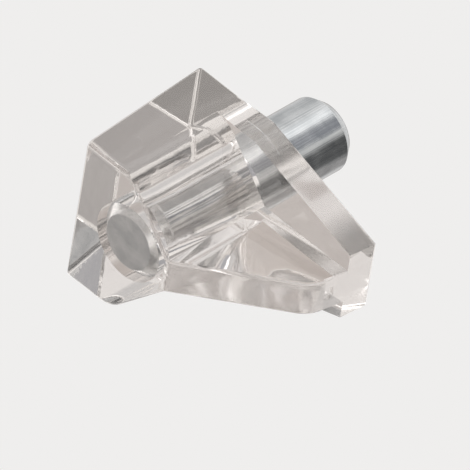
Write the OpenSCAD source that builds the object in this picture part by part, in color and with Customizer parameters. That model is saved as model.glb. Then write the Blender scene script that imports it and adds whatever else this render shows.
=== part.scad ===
// Shelf support pin: a clear moulded block with a seat for the shelf on top, a back plate that bears
// on the cabinet side and a web between them, set on a steel pin that goes into the shelf-pin hole.
// The origin is on the pin's axis in the plane of the back face. +Y runs into the cabinet side,
// +Z is up and X runs across the width. Lengths are in millimetres and angles in degrees.

/* [Body] */
// Width of the body, across the seat
body_width = 13.8; // [11.5:0.1:16.6]
// Depth of the body, from its front face to its back face
body_depth = 13.3; // [11:0.1:16]
// Height of the body along the back face, from the seat to the foot
body_height = 20.3; // [16.8:0.1:24.4]
// Height of the seat above the pin's axis, at the back face
seat_rise = 6.3; // [5.9:0.1:7.6]
// Fall of the seat from the back face to the front face
seat_slope = 4.2; // [0:0.1:5]
// Rise of the foot from the back face towards the front
foot_slope = 4.3; // [0:0.1:6]

/* [Block round the pin] */
// Height above the pin's axis at which the upright sides turn in under the block
shoulder_rise = 0.4; // [0:0.1:1.5]
// Radius of the turn at each shoulder
shoulder_radius = 2.9; // [0.5:0.1:3]
// Plastic between the bore and the flat under it, where the web starts
keel_wall = 1.2; // [0.9:0.1:2]
// Plastic in front of the pin's inner end
front_wall = 1.1; // [0.8:0.1:2]
// Radius of the upright front edge on the +X side, where the mould's two halves don't meet
front_edge_radius = 0.6; // [0.2:0.1:1]

/* [Back plate] */
// Thickness of the back plate
plate_thickness = 2.75; // [2:0.05:3.5]
// Height of the plate's upright sides, from the seat down to where they start to taper
plate_straight = 8.8; // [8:0.1:11]
// Width of the plate at its foot
foot_width = 6.3; // [4.5:0.1:9]

/* [Web] */
// Thickness of the web under the block
web_thickness = 3.2; // [2.4:0.1:4]
// Length of the web's foot, in front of the back plate
web_foot = 3.3; // [1.5:0.1:4]
// Radius of the turn from the web's slanted edge to its foot
web_foot_radius = 2.7; // [0.5:0.1:3.5]

/* [Steel pin] */
// Diameter of the pin's free length, for a standard quarter-inch shelf-pin hole
pin_diameter = 6.35; // [5:0.05:7.65]
// How far the pin stands out of the back face
pin_projection = 8.8; // [6.8:0.1:10]
// Length of the chamfer at both ends of the pin, along the pin
chamfer_length = 0.95; // [0.3:0.05:1.5]
// Depth of the chamfer, measured in from the pin's surface
chamfer_depth = 0.75; // [0.3:0.05:1.5]
// Height that the knurl stands up from the pin's surface
knurl_raise = 0.18; // [0.16:0.01:0.25]
// Depth of the knurl's grooves, from its crests
knurl_depth = 0.08; // [0.05:0.01:0.3]
// Number of the knurl's grooves
knurl_grooves = 32; // [20:1:40]
// Share of the knurl's pitch that each groove takes
groove_share = 0.55; // [0.3:0.05:0.8]
// Radial clearance between the knurl's crests and the bore, none for a pressed pin
bore_clearance = 0; // [0:0.005:0.05]

/* [Hidden] */
$fn = 96;

// Heights above the pin's axis
seat_front_z = seat_rise - body_depth * tan(seat_slope);
foot_z = seat_rise - body_height;
plate_taper_z = seat_rise - plate_straight;
foot_front_y = -(plate_thickness + web_foot);
foot_front_z = foot_z - foot_front_y * tan(foot_slope);

// The pin and its bore
pin_r = pin_diameter / 2;
crest_r = pin_r + knurl_raise;
bore_r = crest_r + bore_clearance;
pin_inner_y = -(body_depth - front_wall);
pin_length = pin_projection - pin_inner_y;
knurl_length = -pin_inner_y - chamfer_length;
keel_z = -(bore_r + keel_wall);
groove_width = groove_share * 2 * PI * crest_r / knurl_grooves;

half_width = body_width / 2;
half_foot = foot_width / 2;
half_web = web_thickness / 2;

// How far a cutting tool runs past the surface that it cuts
over = 1;
// How far a groove's cut runs past the knurl's crests, short of the next groove
groove_over = 0.03;
// How far a rounding circle crosses the edges that it blends, so that it never just touches them
blend_overlap = 0.001;

function unit(v) = v / norm(v);

// What a radius takes off the corner of an outline, between its neighbours before and after it.
// Its own corner lies outside the outline, so that the two share no edge.
module corner_waste(before, corner, after, radius) {
    to_before = unit(before - corner);
    to_after = unit(after - corner);
    half_angle = acos(to_before * to_after) / 2;
    setback = radius / tan(half_angle);
    centre = corner + unit(to_before + to_after) * radius / sin(half_angle);
    outside = 2 * corner - centre;
    difference() {
        polygon([corner + to_before * setback, outside, corner + to_after * setback, centre]);
        translate(centre)
            circle(r = radius + blend_overlap);
    }
}

// Front view of the block: upright sides, rounded shoulders and slanted undersides down to the web
module block_front() {
    side_top = [half_width, seat_rise];
    shoulder = [half_width, shoulder_rise];
    keel = [half_web, keel_z];
    difference() {
        polygon([
            side_top, shoulder, keel,
            [-keel.x, keel.y], [-shoulder.x, shoulder.y], [-side_top.x, side_top.y]
        ]);
        for (side = [0, 1])
            mirror([side, 0])
                corner_waste(side_top, shoulder, keel, shoulder_radius);
    }
}

// Front view of the back plate: upright sides, then a straight taper down to the foot
module plate_front() {
    polygon([
        [half_width, seat_rise], [half_width, plate_taper_z], [half_foot, foot_z],
        [-half_foot, foot_z], [-half_width, plate_taper_z], [-half_width, seat_rise]
    ]);
}

// Side view of the whole body, front to the left: seat, back face, foot and the web's slanted edge
module body_side() {
    keel_front = [-body_depth, keel_z];
    web_toe = [foot_front_y, foot_front_z];
    foot_back = [0, foot_z];
    difference() {
        polygon([
            [0, seat_rise], [-body_depth, seat_front_z], keel_front, web_toe, foot_back
        ]);
        corner_waste(keel_front, web_toe, foot_back, web_foot_radius);
    }
}

// What the rounding of the upright front edge takes off, over the whole height
module front_edge_waste() {
    translate([0, 0, foot_z - over])
        linear_extrude(height = body_height + 2 * over)
            corner_waste(
                [-half_width, -body_depth], [half_width, -body_depth], [half_width, 0],
                front_edge_radius
            );
}

// Draws a front view in the X-Z plane and carries it forward from the back face
module carry_forward(depth) {
    rotate([90, 0, 0])
        linear_extrude(height = depth)
            children();
}

// The clear moulding, one piece: block, back plate and web, with a blind bore for the pin
module support_body() {
    color([0.86, 0.86, 0.85, 0.45])
    difference() {
        intersection() {
            rotate([90, 0, 90])
                linear_extrude(height = body_width, center = true)
                    body_side();
            union() {
                carry_forward(body_depth)
                    block_front();
                carry_forward(plate_thickness)
                    plate_front();
                translate([-half_web, -body_depth, foot_z])
                    cube([web_thickness, body_depth, body_height]);
            }
        }
        translate([0, pin_inner_y, 0])
            rotate([-90, 0, 0])
                cylinder(r = bore_r, h = -pin_inner_y + over);
        front_edge_waste();
    }
}

// Half section of a plain pin with chamfered ends, standing on the axis
module pin_section(length) {
    end_r = pin_r - chamfer_depth;
    polygon([
        [0, 0], [end_r, 0], [pin_r, chamfer_length],
        [pin_r, length - chamfer_length], [end_r, length], [0, length]
    ]);
}

// A V-shaped groove along the knurl, cut in from its crest
module knurl_groove() {
    half_groove = groove_width / 2;
    // Widened past the crest at the same angle, so that the cut runs clear of it
    flare = half_groove * (knurl_depth + groove_over) / knurl_depth;
    translate([0, 0, -over])
        linear_extrude(height = knurl_length + 2 * over)
            polygon([
                [crest_r - knurl_depth, 0],
                [crest_r + groove_over, flare], [crest_r + groove_over, -flare]
            ]);
}

// The steel pin, one piece: plain where it goes into the cabinet side, straight-knurled in the body
module steel_pin() {
    color([0.72, 0.73, 0.74])
    rotate([-90, 0, 0])
        union() {
            translate([0, 0, pin_inner_y])
                rotate_extrude()
                    pin_section(pin_length);
            translate([0, 0, -knurl_length])
                difference() {
                    cylinder(r = crest_r, h = knurl_length);
                    for (groove = [0 : knurl_grooves - 1])
                        rotate(groove * 360 / knurl_grooves)
                            knurl_groove();
                }
        }
}

support_body();
steel_pin();
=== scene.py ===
"""Looks of a shelf support pin: a clear moulded body on a zinc-plated steel pin.

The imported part's frame holds: +Y runs along the pin into the cabinet side, +Z is up and X runs across
the width. Sizes in the classes are in millimetres and angles in degrees, and each piece is scaled to
metres as it is finished.
"""

import logging
import math
from dataclasses import dataclass
from enum import Enum
from typing import Any, Callable, Sequence

import bmesh
import bpy
from mathutils import Matrix, Vector


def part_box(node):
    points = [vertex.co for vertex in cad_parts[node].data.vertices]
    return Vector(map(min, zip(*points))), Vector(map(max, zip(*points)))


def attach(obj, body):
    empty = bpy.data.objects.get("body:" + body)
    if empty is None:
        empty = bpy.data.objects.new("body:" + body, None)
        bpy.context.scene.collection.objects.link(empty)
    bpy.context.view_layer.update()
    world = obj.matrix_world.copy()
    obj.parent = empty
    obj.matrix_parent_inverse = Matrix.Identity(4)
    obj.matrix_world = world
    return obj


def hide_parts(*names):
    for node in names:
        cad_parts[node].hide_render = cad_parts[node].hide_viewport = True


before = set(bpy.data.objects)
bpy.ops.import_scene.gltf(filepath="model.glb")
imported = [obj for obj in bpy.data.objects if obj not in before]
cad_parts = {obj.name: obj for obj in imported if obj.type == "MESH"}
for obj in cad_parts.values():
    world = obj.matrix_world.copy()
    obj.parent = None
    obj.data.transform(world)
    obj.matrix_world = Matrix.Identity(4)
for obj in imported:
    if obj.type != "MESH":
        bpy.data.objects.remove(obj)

MM = 0.001
BODY = "root"
LOG = logging.getLogger("shelf_support_pin")
# Face attribute that is 1 on the moulding's satin faces and 0 on its polished ones
SATIN = "satin"
# Two faces that meet at more than this make a crisp corner, and at less they shade as one
CORNER_ANGLE = math.radians(35.0)
# Places nearer to each other than this count as the same, in mm
TOUCH = 0.01
# The bevel profile that is an arc of a circle
ROUND_PROFILE = 0.5
# How often a ray may turn: light that runs along inside clear plastic is turned back many times
LIGHT_TURNS = 48
# The weighted normal's setting at which only the largest face at a corner counts
LARGEST_FACE_ONLY = 100

Point2 = tuple[float, float]
Point3 = tuple[float, float, float]
Span = tuple[float, float]
Place = Callable[[float, float, float], Vector]


def linear(hex_colour: str) -> tuple[float, float, float, float]:
    """Turns an sRGB hex colour into the linear colour that a shader takes.

    Args:
        hex_colour: Six hex digits, such as "C8CCD0".

    Returns:
        Linear red, green and blue, and an alpha of 1.
    """
    channels = [int(hex_colour[i:i + 2], 16) / 255 for i in (0, 2, 4)]
    red, green, blue = (
        c / 12.92 if c <= 0.04045 else ((c + 0.055) / 1.055) ** 2.4 for c in channels
    )
    return red, green, blue, 1.0


def add_node(
    tree: bpy.types.NodeTree, kind: str, inputs: dict[str | int, Any] | None = None, **settings: Any
) -> bpy.types.Node:
    """Adds one node with its settings, its numbers and its links.

    Args:
        tree: The node tree that gets the node.
        kind: The node's type, such as "ShaderNodeTexNoise".
        inputs: For each input, by name or number, a value or the output socket to link to it.
        **settings: The node's own attributes.

    Returns:
        The node.
    """
    node = tree.nodes.new(kind)
    for name, value in settings.items():
        setattr(node, name, value)
    for name, value in (inputs or {}).items():
        if isinstance(value, bpy.types.NodeSocket):
            tree.links.new(value, node.inputs[name])
        else:
            node.inputs[name].default_value = value
    return node


def new_material(name: str) -> tuple[bpy.types.Material, bpy.types.NodeTree]:
    """Makes an empty node material.

    Args:
        name: The material's name.

    Returns:
        The material and its node tree, with no nodes in it.
    """
    material = bpy.data.materials.new(name)
    material.use_nodes = True
    material.node_tree.nodes.clear()
    return material, material.node_tree


# --- Finishes ---------------------------------------------------------------------------------------


@dataclass(frozen=True)
class ClearPlastic:
    """Clear polycarbonate, injection moulded: polished broad faces and satin narrow ones.

    It has hardly a colour of its own. What the eye gets is the room, bent and mirrored by the faces
    behind, a warm grey where light goes a long way through it, and a pale line along each rounded edge.
    """

    name: str = "clear_moulded_polycarbonate"
    ior: float = 1.585
    roughness: float = 0.03
    satin_roughness: float = 0.2
    clearness: float = 1.0
    tint: str = "FAF6F3"
    absorption_colour: str = "C9C0BC"
    absorption_per_mm: float = 0.012
    flow_ripple_mm: float = 2.4
    flow_ripple_depth_mm: float = 0.2
    flow_ripple_strength: float = 0.07
    flow_ripple_detail: float = 2.0

    def material(self) -> bpy.types.Material:
        """Builds the plastic's material.

        Returns:
            The material.
        """
        material, tree = new_material(self.name)
        place = add_node(tree, "ShaderNodeTexCoord")
        # Sink and flow of the melt leave a faint unevenness in a moulded face. The eye gets it as
        # mirrored lines that waver a little
        ripple = add_node(
            tree,
            "ShaderNodeTexNoise",
            {
                "Vector": place.outputs["Object"],
                "Scale": 1 / (self.flow_ripple_mm * MM),
                "Detail": self.flow_ripple_detail,
            },
        )
        bump = add_node(
            tree,
            "ShaderNodeBump",
            {
                "Height": ripple.outputs["Fac"],
                "Strength": self.flow_ripple_strength,
                "Distance": self.flow_ripple_depth_mm * MM,
            },
        )
        # The mould is polished only where the plastic is looked through. Its narrow faces come out
        # satin, which blurs what is seen through them
        satin = add_node(tree, "ShaderNodeAttribute", attribute_name=SATIN)
        roughness = add_node(
            tree,
            "ShaderNodeMapRange",
            {"Value": satin.outputs["Fac"], "To Min": self.roughness, "To Max": self.satin_roughness},
        )
        surface = add_node(
            tree,
            "ShaderNodeBsdfPrincipled",
            {
                "Base Color": linear(self.tint),
                "Roughness": roughness.outputs["Result"],
                "IOR": self.ior,
                "Transmission Weight": self.clearness,
                "Normal": bump.outputs["Normal"],
            },
        )
        inside = add_node(
            tree,
            "ShaderNodeVolumeAbsorption",
            {"Color": linear(self.absorption_colour), "Density": self.absorption_per_mm / MM},
        )
        add_node(
            tree,
            "ShaderNodeOutputMaterial",
            {"Surface": surface.outputs["BSDF"], "Volume": inside.outputs["Volume"]},
        )
        return material


@dataclass(frozen=True)
class PlatedSteel:
    """Carbon steel, drawn, chamfered and zinc plated: a soft mirror with fine lengthwise lines."""

    name: str = "zinc_plated_drawn_steel"
    light: str = "DADCDD"
    dark: str = "BCBFC1"
    roughness: float = 0.17
    dull_roughness: float = 0.26
    draw_line_mm: float = 0.11
    draw_line_length_mm: float = 6.0
    draw_line_depth_mm: float = 0.012
    draw_line_strength: float = 0.5
    draw_line_detail: float = 2.0
    cloud_mm: float = 1.7
    cloud_detail: float = 3.0
    cloud_range: Span = (0.3, 0.7)
    shade_range: Span = (0.15, 0.35)

    def material(self) -> bpy.types.Material:
        """Builds the steel's material.

        Returns:
            The material.
        """
        material, tree = new_material(self.name)
        place = add_node(tree, "ShaderNodeTexCoord")
        # The die leaves fine lines along the pin. Real ones are some hundredths of a millimetre wide,
        # too fine to show, so they are drawn as coarse as they need to be
        across, along = 1 / (self.draw_line_mm * MM), 1 / (self.draw_line_length_mm * MM)
        stretched = add_node(
            tree,
            "ShaderNodeMapping",
            {"Vector": place.outputs["Object"], "Scale": (across, along, across)},
        )
        lines = add_node(
            tree,
            "ShaderNodeTexNoise",
            {"Vector": stretched.outputs["Vector"], "Scale": 1.0, "Detail": self.draw_line_detail},
        )
        # Zinc settles a little unevenly. The eye gets it as a clouded shine, duller in some places
        cloud = add_node(
            tree,
            "ShaderNodeTexNoise",
            {
                "Vector": place.outputs["Object"],
                "Scale": 1 / (self.cloud_mm * MM),
                "Detail": self.cloud_detail,
            },
        )
        unevenness = add_node(
            tree,
            "ShaderNodeMath",
            {0: lines.outputs["Fac"], 1: cloud.outputs["Fac"]},
            operation="MULTIPLY",
        )
        shade = add_node(
            tree,
            "ShaderNodeMapRange",
            {
                "Value": unevenness.outputs["Value"],
                "From Min": self.shade_range[0],
                "From Max": self.shade_range[1],
            },
        )
        colour = add_node(
            tree,
            "ShaderNodeMix",
            {"Factor": shade.outputs["Result"], "A": linear(self.dark), "B": linear(self.light)},
            data_type="RGBA",
        )
        roughness = add_node(
            tree,
            "ShaderNodeMapRange",
            {
                "Value": cloud.outputs["Fac"],
                "From Min": self.cloud_range[0],
                "From Max": self.cloud_range[1],
                "To Min": self.roughness,
                "To Max": self.dull_roughness,
            },
        )
        bump = add_node(
            tree,
            "ShaderNodeBump",
            {
                "Height": lines.outputs["Fac"],
                "Strength": self.draw_line_strength,
                "Distance": self.draw_line_depth_mm * MM,
            },
        )
        surface = add_node(
            tree,
            "ShaderNodeBsdfPrincipled",
            {
                "Base Color": colour.outputs["Result"],
                "Metallic": 1.0,
                "Roughness": roughness.outputs["Result"],
                "Normal": bump.outputs["Normal"],
            },
        )
        add_node(tree, "ShaderNodeOutputMaterial", {"Surface": surface.outputs["BSDF"]})
        return material


# --- Mesh tools -------------------------------------------------------------------------------------


def rounded_corner(
    before: Point2, corner: Point2, after: Point2, radius: float, steps: int
) -> list[Point2]:
    """Lays out the arc that rounds one corner of an outline.

    Args:
        before: The outline's point before the corner.
        corner: The corner.
        after: The outline's point after the corner.
        radius: The arc's radius.
        steps: How many chords the arc gets.

    Returns:
        The arc's points, from the side of before to the side of after.
    """
    at = Vector(corner)
    to_before = (Vector(before) - at).normalized()
    to_after = (Vector(after) - at).normalized()
    half_angle = to_before.angle(to_after) / 2
    centre = at + (to_before + to_after).normalized() * radius / math.sin(half_angle)
    first = at + to_before * radius / math.tan(half_angle) - centre
    last = at + to_after * radius / math.tan(half_angle) - centre
    turn = first.angle_signed(last)
    points = []
    for step in range(steps + 1):
        angle = -turn * step / steps
        points.append((
            centre.x + first.x * math.cos(angle) - first.y * math.sin(angle),
            centre.y + first.x * math.sin(angle) + first.y * math.cos(angle),
        ))
    return points


def circle_outline(radius: float, facets: int) -> list[Point2]:
    """Lays out a circle round the origin.

    Args:
        radius: The circle's radius.
        facets: How many chords it gets.

    Returns:
        The circle's points in order.
    """
    return [
        (radius * math.cos(2 * math.pi * i / facets), radius * math.sin(2 * math.pi * i / facets))
        for i in range(facets)
    ]


def from_side(y: float, z: float, x: float) -> Vector:
    """Places a point of an outline that is drawn from the side."""
    return Vector((x, y, z))


def from_front(x: float, z: float, y: float) -> Vector:
    """Places a point of an outline that is drawn from the front."""
    return Vector((x, y, z))


def from_above(x: float, y: float, z: float) -> Vector:
    """Places a point of an outline that is drawn from above."""
    return Vector((x, y, z))


def prism(
    name: str, outline: Sequence[Point2], place: Place, start: float, end: float
) -> bpy.types.Object:
    """Makes a closed prism from an outline.

    Args:
        name: The object's name.
        outline: The outline's points in order.
        place: Turns an outline point and a depth into a point in the part's frame.
        start: Depth of the first end.
        end: Depth of the other end.

    Returns:
        The prism's object, in millimetres.
    """
    shape = bmesh.new()
    ends = [[shape.verts.new(place(a, b, depth)) for a, b in outline] for depth in (start, end)]
    count = len(outline)
    for corners in ends:
        shape.faces.new(corners)
    for i in range(count):
        j = (i + 1) % count
        shape.faces.new((ends[0][i], ends[0][j], ends[1][j], ends[1][i]))
    bmesh.ops.recalc_face_normals(shape, faces=shape.faces)
    return stored(name, shape)


def stored(name: str, shape: bmesh.types.BMesh) -> bpy.types.Object:
    """Puts a finished shape into a new object of the scene and frees it.

    Args:
        name: The object's name.
        shape: The shape.

    Returns:
        The object.
    """
    mesh = bpy.data.meshes.new(name)
    shape.to_mesh(mesh)
    shape.free()
    obj = bpy.data.objects.new(name, mesh)
    bpy.context.scene.collection.objects.link(obj)
    return obj


class Cut(Enum):
    """How two solids are put together."""

    JOIN = "UNION"
    KEEP_COMMON = "INTERSECT"
    TAKE_AWAY = "DIFFERENCE"


def combined(base: bpy.types.Object, other: bpy.types.Object, how: Cut) -> bpy.types.Object:
    """Combines two solids and removes both.

    Args:
        base: The first solid.
        other: The solid that is joined to it, kept in common with it or taken away from it.
        how: Which of these it is.

    Returns:
        The result, under the first solid's name.
    """
    step = base.modifiers.new("step", "BOOLEAN")
    step.operation = how.value
    step.solver = "EXACT"
    step.object = other
    seen = base.evaluated_get(bpy.context.evaluated_depsgraph_get())
    mesh = bpy.data.meshes.new_from_object(seen)
    base.modifiers.clear()
    base.data = mesh
    bpy.data.objects.remove(other)
    return base


def settle_normals(piece: bpy.types.Object) -> None:
    """Lets each large face keep its own normal next to the small faces of a rounded edge or a step.

    Args:
        piece: The piece that gets the modifier.
    """
    settle = piece.modifiers.new("large_faces_lead", "WEIGHTED_NORMAL")
    settle.mode = "FACE_AREA"
    settle.weight = LARGEST_FACE_ONLY
    settle.keep_sharp = True


def finished(
    obj: bpy.types.Object,
    shape: bmesh.types.BMesh,
    material: bpy.types.Material,
    cad_node: str,
) -> bpy.types.Object:
    """Stores a piece in metres, dresses it and lets it stand for its CAD node.

    Args:
        obj: The piece's object.
        shape: The piece's shape in millimetres.
        material: Its finish.
        cad_node: The CAD node that it stands for.

    Returns:
        The piece.
    """
    for edge in shape.edges:
        edge.smooth = edge.calc_face_angle(0.0) < CORNER_ANGLE
    bmesh.ops.scale(shape, vec=(MM, MM, MM), verts=shape.verts)
    shape.to_mesh(obj.data)
    shape.free()
    obj.data.materials.clear()
    obj.data.materials.append(material)
    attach(obj, BODY)
    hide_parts(cad_node)
    settle_normals(obj)
    return obj


# --- The two pieces ---------------------------------------------------------------------------------


@dataclass
class SupportBody:
    """The clear moulding: a block with the seat on top, the back plate, the web and a blind bore."""

    low: Vector
    high: Vector
    finish: ClearPlastic
    seat_slope: float = 4.2
    foot_slope: float = 4.3
    # Height at which the block's upright side would meet its slanted underside, and the rounding there
    shoulder_rise: float = 0.4
    shoulder_radius: float = 2.9
    # Height at which the slanted undersides reach the web
    keel_z: float = -4.555
    plate_thickness: float = 2.75
    # Length of the plate's upright sides, above its taper
    plate_straight: float = 8.8
    foot_width: float = 6.3
    web_thickness: float = 3.2
    # How far the web's foot stands in front of the plate, and the rounding of its toe
    web_foot: float = 3.3
    web_foot_radius: float = 2.7
    # A thin film of air lies round the pin
    bore_radius: float = 3.375
    bore_depth: float = 12.22
    bore_facets: int = 160
    arc_steps: int = 24
    # The upright front edge at high x is rounded more than the rest, down to where it meets the shoulder
    front_edge_radius: float = 0.6
    front_edge_end_z: float = 2.9
    edge_radius: float = 0.3
    plate_edge_radius: float = 0.1
    edge_steps: int = 3
    # Chords of an arc meet at less than this, so their edges aren't rounded again
    sharpest_arc_step: float = 12.0
    shortest_edge: float = 0.06
    weld_distance: float = 0.002
    flat_angle: float = 0.2
    # Share of a face's normal that makes it look forward or back, down, or up
    looks_along: float = 0.9
    looks_down: float = -0.2
    looks_up: float = 0.5
    # How far a cutting shape runs past the surface that it cuts
    over: float = 1.0

    def side_outline(self) -> list[Point2]:
        """Draws the whole body from the side.

        Returns:
            The outline's (y, z) points.
        """
        depth = -self.low.y
        seat_front = self.high.z - depth * math.tan(math.radians(self.seat_slope))
        foot_front_y = -(self.plate_thickness + self.web_foot)
        keel_front = (-depth, self.keel_z)
        toe = (foot_front_y, self.low.z - foot_front_y * math.tan(math.radians(self.foot_slope)))
        foot_back = (0.0, self.low.z)
        arc = rounded_corner(keel_front, toe, foot_back, self.web_foot_radius, self.arc_steps)
        return [(0.0, self.high.z), (-depth, seat_front), keel_front, *arc, foot_back]

    def block_outline(self) -> list[Point2]:
        """Draws the block from the front, taller than the body.

        Returns:
            The outline's (x, z) points.
        """
        top = (self.high.x, self.high.z + self.over)
        shoulder = (self.high.x, self.shoulder_rise)
        keel = (self.web_thickness / 2, self.keel_z)
        right = [top, *rounded_corner(top, shoulder, keel, self.shoulder_radius, self.arc_steps), keel]
        return right + [(-x, z) for x, z in reversed(right)]

    def plate_outline(self) -> list[Point2]:
        """Draws the back plate from the front, taller than the body.

        Returns:
            The outline's (x, z) points.
        """
        slope = (self.high.x - self.foot_width / 2) / (self.high.z - self.plate_straight - self.low.z)
        right = [
            (self.high.x, self.high.z + self.over),
            (self.high.x, self.high.z - self.plate_straight),
            (self.foot_width / 2 - slope * self.over, self.low.z - self.over),
        ]
        return right + [(-x, z) for x, z in reversed(right)]

    def web_outline(self) -> list[Point2]:
        """Draws the web from the front, as (x, z) points."""
        half, bottom = self.web_thickness / 2, self.low.z - self.over
        return [(half, 0.0), (half, bottom), (-half, bottom), (-half, 0.0)]

    def front_edge_waste(self) -> list[Point2]:
        """Draws, from above, what the rounding of the upright front edge takes off.

        Returns:
            The outline's (x, y) points.
        """
        corner = (self.high.x, self.low.y)
        before, after = (self.low.x, self.low.y), (self.high.x, 0.0)
        arc = rounded_corner(before, corner, after, self.front_edge_radius, self.arc_steps)
        return [*arc, (corner[0] + self.over, corner[1] - self.over)]

    def carve(self) -> bpy.types.Object:
        """Puts the moulding together from prisms, with every edge still sharp.

        Returns:
            The moulding, in millimetres.
        """
        front, back = self.low.y - self.over, self.over
        left, right = self.low.x - self.over, self.high.x + self.over
        under, above = self.low.z - self.over, self.high.z + self.over
        body = prism("support_body_moulding", self.block_outline(), from_front, front, back)
        plate = prism("plate", self.plate_outline(), from_front, -self.plate_thickness, back)
        web = prism("web", self.web_outline(), from_front, front, back)
        side = prism("side", self.side_outline(), from_side, left, right)
        circle = circle_outline(self.bore_radius, self.bore_facets)
        bore = prism("bore", circle, from_front, -self.bore_depth, back)
        waste = prism("waste", self.front_edge_waste(), from_above, under, above)
        for other, how in (
            (plate, Cut.JOIN),
            (web, Cut.JOIN),
            (side, Cut.KEEP_COMMON),
            (bore, Cut.TAKE_AWAY),
            (waste, Cut.TAKE_AWAY),
        ):
            body = combined(body, other, how)
        return body

    def build(self) -> bpy.types.Object:
        """Builds the moulding with small rounded edges and dresses it.

        Returns:
            The piece.
        """
        body = self.carve()
        shape = bmesh.new()
        shape.from_mesh(body.data)
        bmesh.ops.remove_doubles(shape, verts=shape.verts, dist=self.weld_distance)
        bmesh.ops.dissolve_limit(
            shape, angle_limit=math.radians(self.flat_angle), verts=shape.verts, edges=shape.edges
        )
        satin = shape.faces.layers.float.new(SATIN)
        for face in shape.faces:
            face[satin] = 1.0 if self.is_narrow(face) else 0.0
        self.round_edges(shape)
        for face in shape.faces:
            face.smooth = True
        return finished(body, shape, self.finish.material(), "support_body")

    def round_edges(self, shape: bmesh.types.BMesh) -> None:
        """Rounds the outer edges, and more finely those that start at the plate's front.

        Args:
            shape: The body's shape.
        """
        bmesh.ops.remove_doubles(shape, verts=shape.verts, dist=self.shortest_edge)
        marks = shape.edges.layers.int.new("at_plate")
        sharp = math.radians(self.sharpest_arc_step)
        outer = [
            e for e in shape.edges
            if e.is_manifold and e.is_convex and e.calc_face_angle() > sharp and not self.is_bore_edge(e)
        ]
        for edge in outer:
            long_enough = edge.calc_length() > self.plate_thickness / 2
            edge[marks] = int(self.meets_plate_front(edge) and long_enough)
        bmesh.ops.bevel(
            shape,
            geom=[e for e in outer if not self.meets_plate_front(e) and not self.is_in_turn(e)],
            offset=self.edge_radius,
            offset_type="OFFSET",
            segments=self.edge_steps,
            profile=ROUND_PROFILE,
            affect="EDGES",
            clamp_overlap=False,
        )
        bmesh.ops.bevel(
            shape,
            geom=[e for e in shape.edges if e[marks]],
            offset=self.plate_edge_radius,
            offset_type="OFFSET",
            segments=self.edge_steps,
            profile=ROUND_PROFILE,
            affect="EDGES",
            clamp_overlap=True,
        )
        shape.edges.layers.int.remove(marks)

    def is_in_turn(self, edge: bmesh.types.BMEdge) -> bool:
        """Says whether an edge lies where the rounded front edge runs out into the shoulder."""
        inside = self.high.x - self.front_edge_radius - TOUCH
        return all(v.co.x > inside and v.co.z < self.front_edge_end_z for v in edge.verts)

    def meets_plate_front(self, edge: bmesh.types.BMEdge) -> bool:
        """Says whether an edge has an end in the plane of the plate's front."""
        return any(abs(v.co.y + self.plate_thickness) < TOUCH for v in edge.verts)

    def is_narrow(self, face: bmesh.types.BMFace) -> bool:
        """Says whether a face is a narrow one: the web's edge, the foot or a side of the plate.

        Args:
            face: A face of the sharp-edged body.

        Returns:
            True for a narrow face.
        """
        in_web = all(abs(v.co.x) < self.web_thickness / 2 + TOUCH for v in face.verts)
        in_plate = all(v.co.y > -self.plate_thickness - TOUCH for v in face.verts)
        in_bore = all(math.hypot(v.co.x, v.co.z) < self.bore_radius + TOUCH for v in face.verts)
        web_edge = in_web and face.normal.z < self.looks_down
        plate_side = in_plate and face.normal.z < self.looks_up
        return not in_bore and abs(face.normal.y) < self.looks_along and (web_edge or plate_side)

    def is_bore_edge(self, edge: bmesh.types.BMEdge) -> bool:
        """Says whether an edge lies on the bore's wall, which keeps its sharp mouth and floor."""
        return all(abs(math.hypot(v.co.x, v.co.z) - self.bore_radius) < TOUCH for v in edge.verts)


@dataclass(frozen=True)
class EdgeBreak:
    """A small broken edge on the pin: its length along the pin and its depth across it."""

    along: float
    across: float


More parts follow.
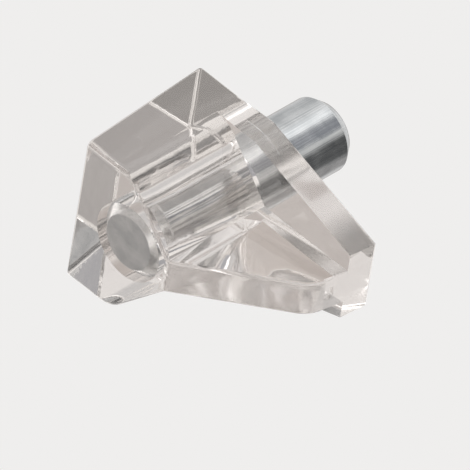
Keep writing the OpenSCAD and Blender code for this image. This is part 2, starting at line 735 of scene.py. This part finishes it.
@dataclass
class SteelPin:
    """The steel pin: chamfered ends, a plain free length and a straight knurl inside the body."""

    low: Vector
    high: Vector
    finish: PlatedSteel
    radius: float = 3.175
    chamfer_length: float = 0.95
    chamfer_depth: float = 0.75
    knurl_raise: float = 0.18
    knurl_depth: float = 0.05
    knurl_grooves: int = 32
    groove_share: float = 0.55
    facets_per_groove: int = 8
    # Small broken edges, from the inner end to the outer one
    inner_rim: EdgeBreak = EdgeBreak(0.03, 0.06)
    knurl_foot: EdgeBreak = EdgeBreak(0.02, 0.02)
    knurl_lip: EdgeBreak = EdgeBreak(0.05, 0.03)
    chamfer_start: EdgeBreak = EdgeBreak(0.06, 0.015)
    chamfer_end: EdgeBreak = EdgeBreak(0.05, 0.03)
    outer_rim_depth: float = 0.05

    def rings(self) -> list[tuple[float, float, bool]]:
        """Lays out the pin's profile from its inner end to its outer end.

        Returns:
            For each ring its place along the pin, its radius and whether the knurl grooves it.
        """
        inner, outer = self.low.y, self.high.y
        end_r = self.radius - self.chamfer_depth
        crest = self.radius + self.knurl_raise
        knurl_start = inner + self.chamfer_length
        chamfer = outer - self.chamfer_length
        return [
            (inner, end_r - self.inner_rim.across, False),
            (inner + self.inner_rim.along, end_r, False),
            (knurl_start - self.knurl_foot.along, self.radius - self.knurl_foot.across, False),
            (knurl_start, crest - self.knurl_lip.across, True),
            (knurl_start + self.knurl_lip.along, crest, True),
            (-self.knurl_lip.along, crest, True),
            (0.0, crest - self.knurl_lip.across, True),
            (self.knurl_foot.along, self.radius, False),
            (chamfer - self.chamfer_start.along, self.radius, False),
            (chamfer, self.radius - self.chamfer_start.across, False),
            (outer - self.chamfer_end.along, end_r + self.chamfer_end.across, False),
            (outer, end_r - self.outer_rim_depth, False),
        ]

    def build(self) -> bpy.types.Object:
        """Builds the pin ring by ring and dresses it.

        Returns:
            The piece.
        """
        facets = self.knurl_grooves * self.facets_per_groove
        shape = bmesh.new()
        loops = []
        for along, radius, grooved in self.rings():
            loop = []
            for i in range(facets):
                angle = 2 * math.pi * i / facets
                r = radius - (self.groove(i) if grooved else 0.0)
                loop.append(shape.verts.new((r * math.cos(angle), along, r * math.sin(angle))))
            loops.append(loop)
        for one, other in zip(loops, loops[1:]):
            for i in range(facets):
                j = (i + 1) % facets
                shape.faces.new((one[i], one[j], other[j], other[i]))
        shape.faces.new(loops[0])
        shape.faces.new(loops[-1])
        bmesh.ops.recalc_face_normals(shape, faces=shape.faces)
        # The two end faces are flat, and everything between them is round
        for face in shape.faces:
            face.smooth = len(face.verts) == 4
        obj = stored("steel_pin_plated", bmesh.new())
        return finished(obj, shape, self.finish.material(), "steel_pin")

    def groove(self, index: int) -> float:
        """Gives the depth of the knurl below its crest at one facet of the pin's round."""
        share = abs((index / self.facets_per_groove) % 1 - 0.5) * 2
        return self.knurl_depth * max(0.0, 1 - share / self.groove_share)


# --- Stage ------------------------------------------------------------------------------------------


class Kind(Enum):
    """What a card is for."""

    LAMP = "lights everything"
    # Painted shade: a dim glowing card, darker than the room it hides, that only clear plastic and steel
    # show
    PAINTED_SHADE = "only darkens what clear plastic and steel show"


@dataclass(frozen=True)
class Card:
    """A round card with a soft rim that faces the part: a softbox, or a dim glowing card that paints
    shade.

    It covers a cone of the part's surroundings: its middle lies toward a direction, and its rim half an
    angle away from it.
    """

    name: str
    kind: Kind
    toward: Point3
    half_angle: float
    radiance: float
    colour: str = "FFFFFF"
    distance: float = 90.0
    rim: int = 64
    soft_share: float = 0.6

    def material(self, radius: float) -> bpy.types.Material:
        """Builds the card's glow, which fades out towards the rim.

        Args:
            radius: The card's radius in metres.

        Returns:
            The material.
        """
        material, tree = new_material(self.name)
        place = add_node(tree, "ShaderNodeTexCoord")
        from_middle = add_node(
            tree, "ShaderNodeVectorMath", {0: place.outputs["Object"]}, operation="LENGTH"
        )
        cover = add_node(
            tree,
            "ShaderNodeMapRange",
            {
                "Value": from_middle.outputs["Value"],
                "From Min": radius * (1 - self.soft_share),
                "From Max": radius,
                "To Min": 1.0,
                "To Max": 0.0,
            },
            interpolation_type="SMOOTHSTEP",
        )
        glow = add_node(
            tree, "ShaderNodeEmission", {"Color": linear(self.colour), "Strength": self.radiance}
        )
        clear = add_node(tree, "ShaderNodeBsdfTransparent")
        both = add_node(
            tree,
            "ShaderNodeMixShader",
            {0: cover.outputs["Result"], 1: clear.outputs["BSDF"], 2: glow.outputs["Emission"]},
        )
        add_node(tree, "ShaderNodeOutputMaterial", {"Surface": both.outputs["Shader"]})
        return material

    def hang(self, centre: Vector) -> None:
        """Hangs the card.

        Args:
            centre: The middle of the part.
        """
        radius = self.distance * math.tan(math.radians(self.half_angle)) * MM
        shape = bmesh.new()
        bmesh.ops.create_circle(shape, cap_ends=True, segments=self.rim, radius=radius)
        card = stored(self.name, shape)
        card.data.materials.append(self.material(radius))
        direction = Vector(self.toward).normalized()
        card.matrix_world = (
            Matrix.Translation((centre + direction * self.distance) * MM)
            @ direction.to_track_quat("Z", "Y").to_matrix().to_4x4()
        )
        card.visible_camera = False
        card.visible_shadow = False
        card.visible_diffuse = self.kind is Kind.LAMP


@dataclass(frozen=True)
class Studio:
    """Floor, world, lamps and camera."""

    centre: Vector
    floor_drop: float = 55.0
    floor_half_width: float = 600.0
    floor_colour: str = "E9E8E6"
    floor_roughness: float = 0.85
    background: str = "EFEEED"
    # Strength of the background as light on the floor and the part, where what is seen of it has 1
    surround: float = 1.15
    camera_right: Point3 = (0.1193, 0.7114, -0.6926)
    camera_up: Point3 = (0.7383, 0.4028, 0.5410)
    # Where the camera stands, counted from the origin to its right, up and back
    camera_stand: Point3 = (-0.893, -4.591, 36.0)
    view_width: float = 36.22
    view_nearest: float = 1.0
    view_farthest: float = 2000.0

    def floor(self) -> None:
        """Lays the plain pale floor, well under the part, which is held up by its pin."""
        material, tree = new_material("pale_floor")
        surface = add_node(
            tree,
            "ShaderNodeBsdfPrincipled",
            {"Base Color": linear(self.floor_colour), "Roughness": self.floor_roughness},
        )
        add_node(tree, "ShaderNodeOutputMaterial", {"Surface": surface.outputs["BSDF"]})
        shape = bmesh.new()
        half = self.floor_half_width
        corners = [(-half, -half), (half, -half), (half, half), (-half, half)]
        shape.faces.new([shape.verts.new((x * MM, y * MM, -self.floor_drop * MM)) for x, y in corners])
        floor = stored("pale_floor", shape)
        floor.data.materials.append(material)

    def world(self) -> None:
        """Gives the plain pale background, which plastic and steel show as bright as it is seen."""
        world = bpy.data.worlds.new("studio")
        world.use_nodes = True
        tree = world.node_tree
        tree.nodes.clear()
        path = add_node(tree, "ShaderNodeLightPath")
        seen = path.outputs["Is Camera Ray"]
        for ray in ("Is Glossy Ray", "Is Transmission Ray"):
            either = add_node(
                tree, "ShaderNodeMath", {0: seen, 1: path.outputs[ray]}, operation="MAXIMUM"
            )
            seen = either.outputs["Value"]
        strength = add_node(
            tree, "ShaderNodeMapRange", {"Value": seen, "To Min": self.surround, "To Max": 1.0}
        )
        light = add_node(
            tree,
            "ShaderNodeBackground",
            {"Color": linear(self.background), "Strength": strength.outputs["Result"]},
        )
        add_node(tree, "ShaderNodeOutputWorld", {"Surface": light.outputs["Background"]})
        bpy.context.scene.world = world

    def light(self) -> None:
        """Hangs the lamps and the flags round the part.

        Clear plastic and bright steel show what hangs round them: a softbox shows as a bright band, and
        each of the flags is a dim glowing card, unseen by the camera and casting no shadow, that paints
        the shade of the dark faces that let the eye read the clear shape.
        """
        lamp, painted_shade = Kind.LAMP, Kind.PAINTED_SHADE
        cards = [
            Card("key_softbox", lamp, toward=(0.93, 0.33, 0.12), half_angle=30, radiance=1.6),
            Card("front_softbox", lamp, toward=(0.1, -0.82, -0.55), half_angle=24, radiance=1.9),
            Card("back_softbox", lamp, toward=(0.36, 0.9, 0.2), half_angle=16, radiance=1.6),
            Card("overhead_softbox", lamp, toward=(-0.05, -0.1, 0.99), half_angle=28, radiance=2.2),
            Card("under_softbox", lamp, toward=(0.3, -0.1, -0.95), half_angle=20, radiance=2.4),
            # From here on, painted shade: dim glowing cards that darken only what the plastic and the
            # steel show
            Card("seat_painted_shade", painted_shade, (-0.7, 0.6, -0.4), half_angle=28, radiance=0.4, colour="FCF8F6"),
            Card("low_painted_shade", painted_shade, (-0.25, 0.6, -0.76), half_angle=22, radiance=0.4, colour="F8F8FA"),
            # Hung close, so that only the pin's free length mirrors this painted shade as a dark band,
            # and not the whole body
            Card(
                "pin_painted_shade",
                painted_shade,
                toward=(-0.06, 0.83, -0.55),
                half_angle=26,
                radiance=0.12,
                distance=32.0,
                soft_share=0.4,
            ),
            Card("corner_painted_shade", painted_shade, (0.66, 0.64, -0.4), half_angle=27, radiance=0.4, colour="F6F8FF"),
            Card("front_painted_shade", painted_shade, (-0.72, -0.52, -0.46), half_angle=35, radiance=0.3, colour="FCF8F4"),
            # Painted shadow: it stands for the part's own shadow on what lies just behind it, seen
            # through the body
            Card("behind_painted_shadow", painted_shade, (-0.62, 0.6, 0.5), half_angle=27, radiance=0.54, colour="FFF8F4"),
            Card("upper_painted_shade", painted_shade, toward=(0.15, 0.63, 0.76), half_angle=26, radiance=0.64),
            Card("left_painted_shade", painted_shade, toward=(-0.76, -0.5, 0.4), half_angle=24, radiance=0.52),
        ]
        for card in cards:
            card.hang(self.centre)

    def camera(self) -> None:
        """Puts up the camera at the viewing angle, without perspective."""
        right, rough_up = Vector(self.camera_right), Vector(self.camera_up)
        back = right.cross(rough_up).normalized()
        up = back.cross(right).normalized()
        data = bpy.data.cameras.new("camera")
        data.type = "ORTHO"
        data.ortho_scale = self.view_width * MM
        data.clip_start = self.view_nearest * MM
        data.clip_end = self.view_farthest * MM
        camera = bpy.data.objects.new("camera", data)
        camera.matrix_world = Matrix((right, up, back)).transposed().to_4x4()
        aside, above, behind = self.camera_stand
        camera.location = (right * aside + up * above + back * behind) * MM
        bpy.context.scene.collection.objects.link(camera)
        bpy.context.scene.camera = camera


def main() -> None:
    """Builds the pieces in order and reports each one."""
    logging.basicConfig(level=logging.INFO, format="%(name)s: %(message)s")
    scene = bpy.context.scene
    scene.view_settings.view_transform = "Standard"
    scene.cycles.max_bounces = LIGHT_TURNS
    scene.cycles.glossy_bounces = LIGHT_TURNS
    scene.cycles.transmission_bounces = LIGHT_TURNS
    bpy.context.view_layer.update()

    body_low, body_high = (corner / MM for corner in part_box("support_body"))
    pin_low, pin_high = (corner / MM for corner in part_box("steel_pin"))
    pieces = [
        SupportBody(body_low, body_high, ClearPlastic()).build(),
        SteelPin(pin_low, pin_high, PlatedSteel()).build(),
    ]
    for piece in pieces:
        LOG.info("%s: %d faces", piece.name, len(piece.data.polygons))

    studio = Studio((body_low + body_high) / 2)
    studio.floor()
    studio.world()
    studio.light()
    studio.camera()


if __name__ == "__main__":
    main()
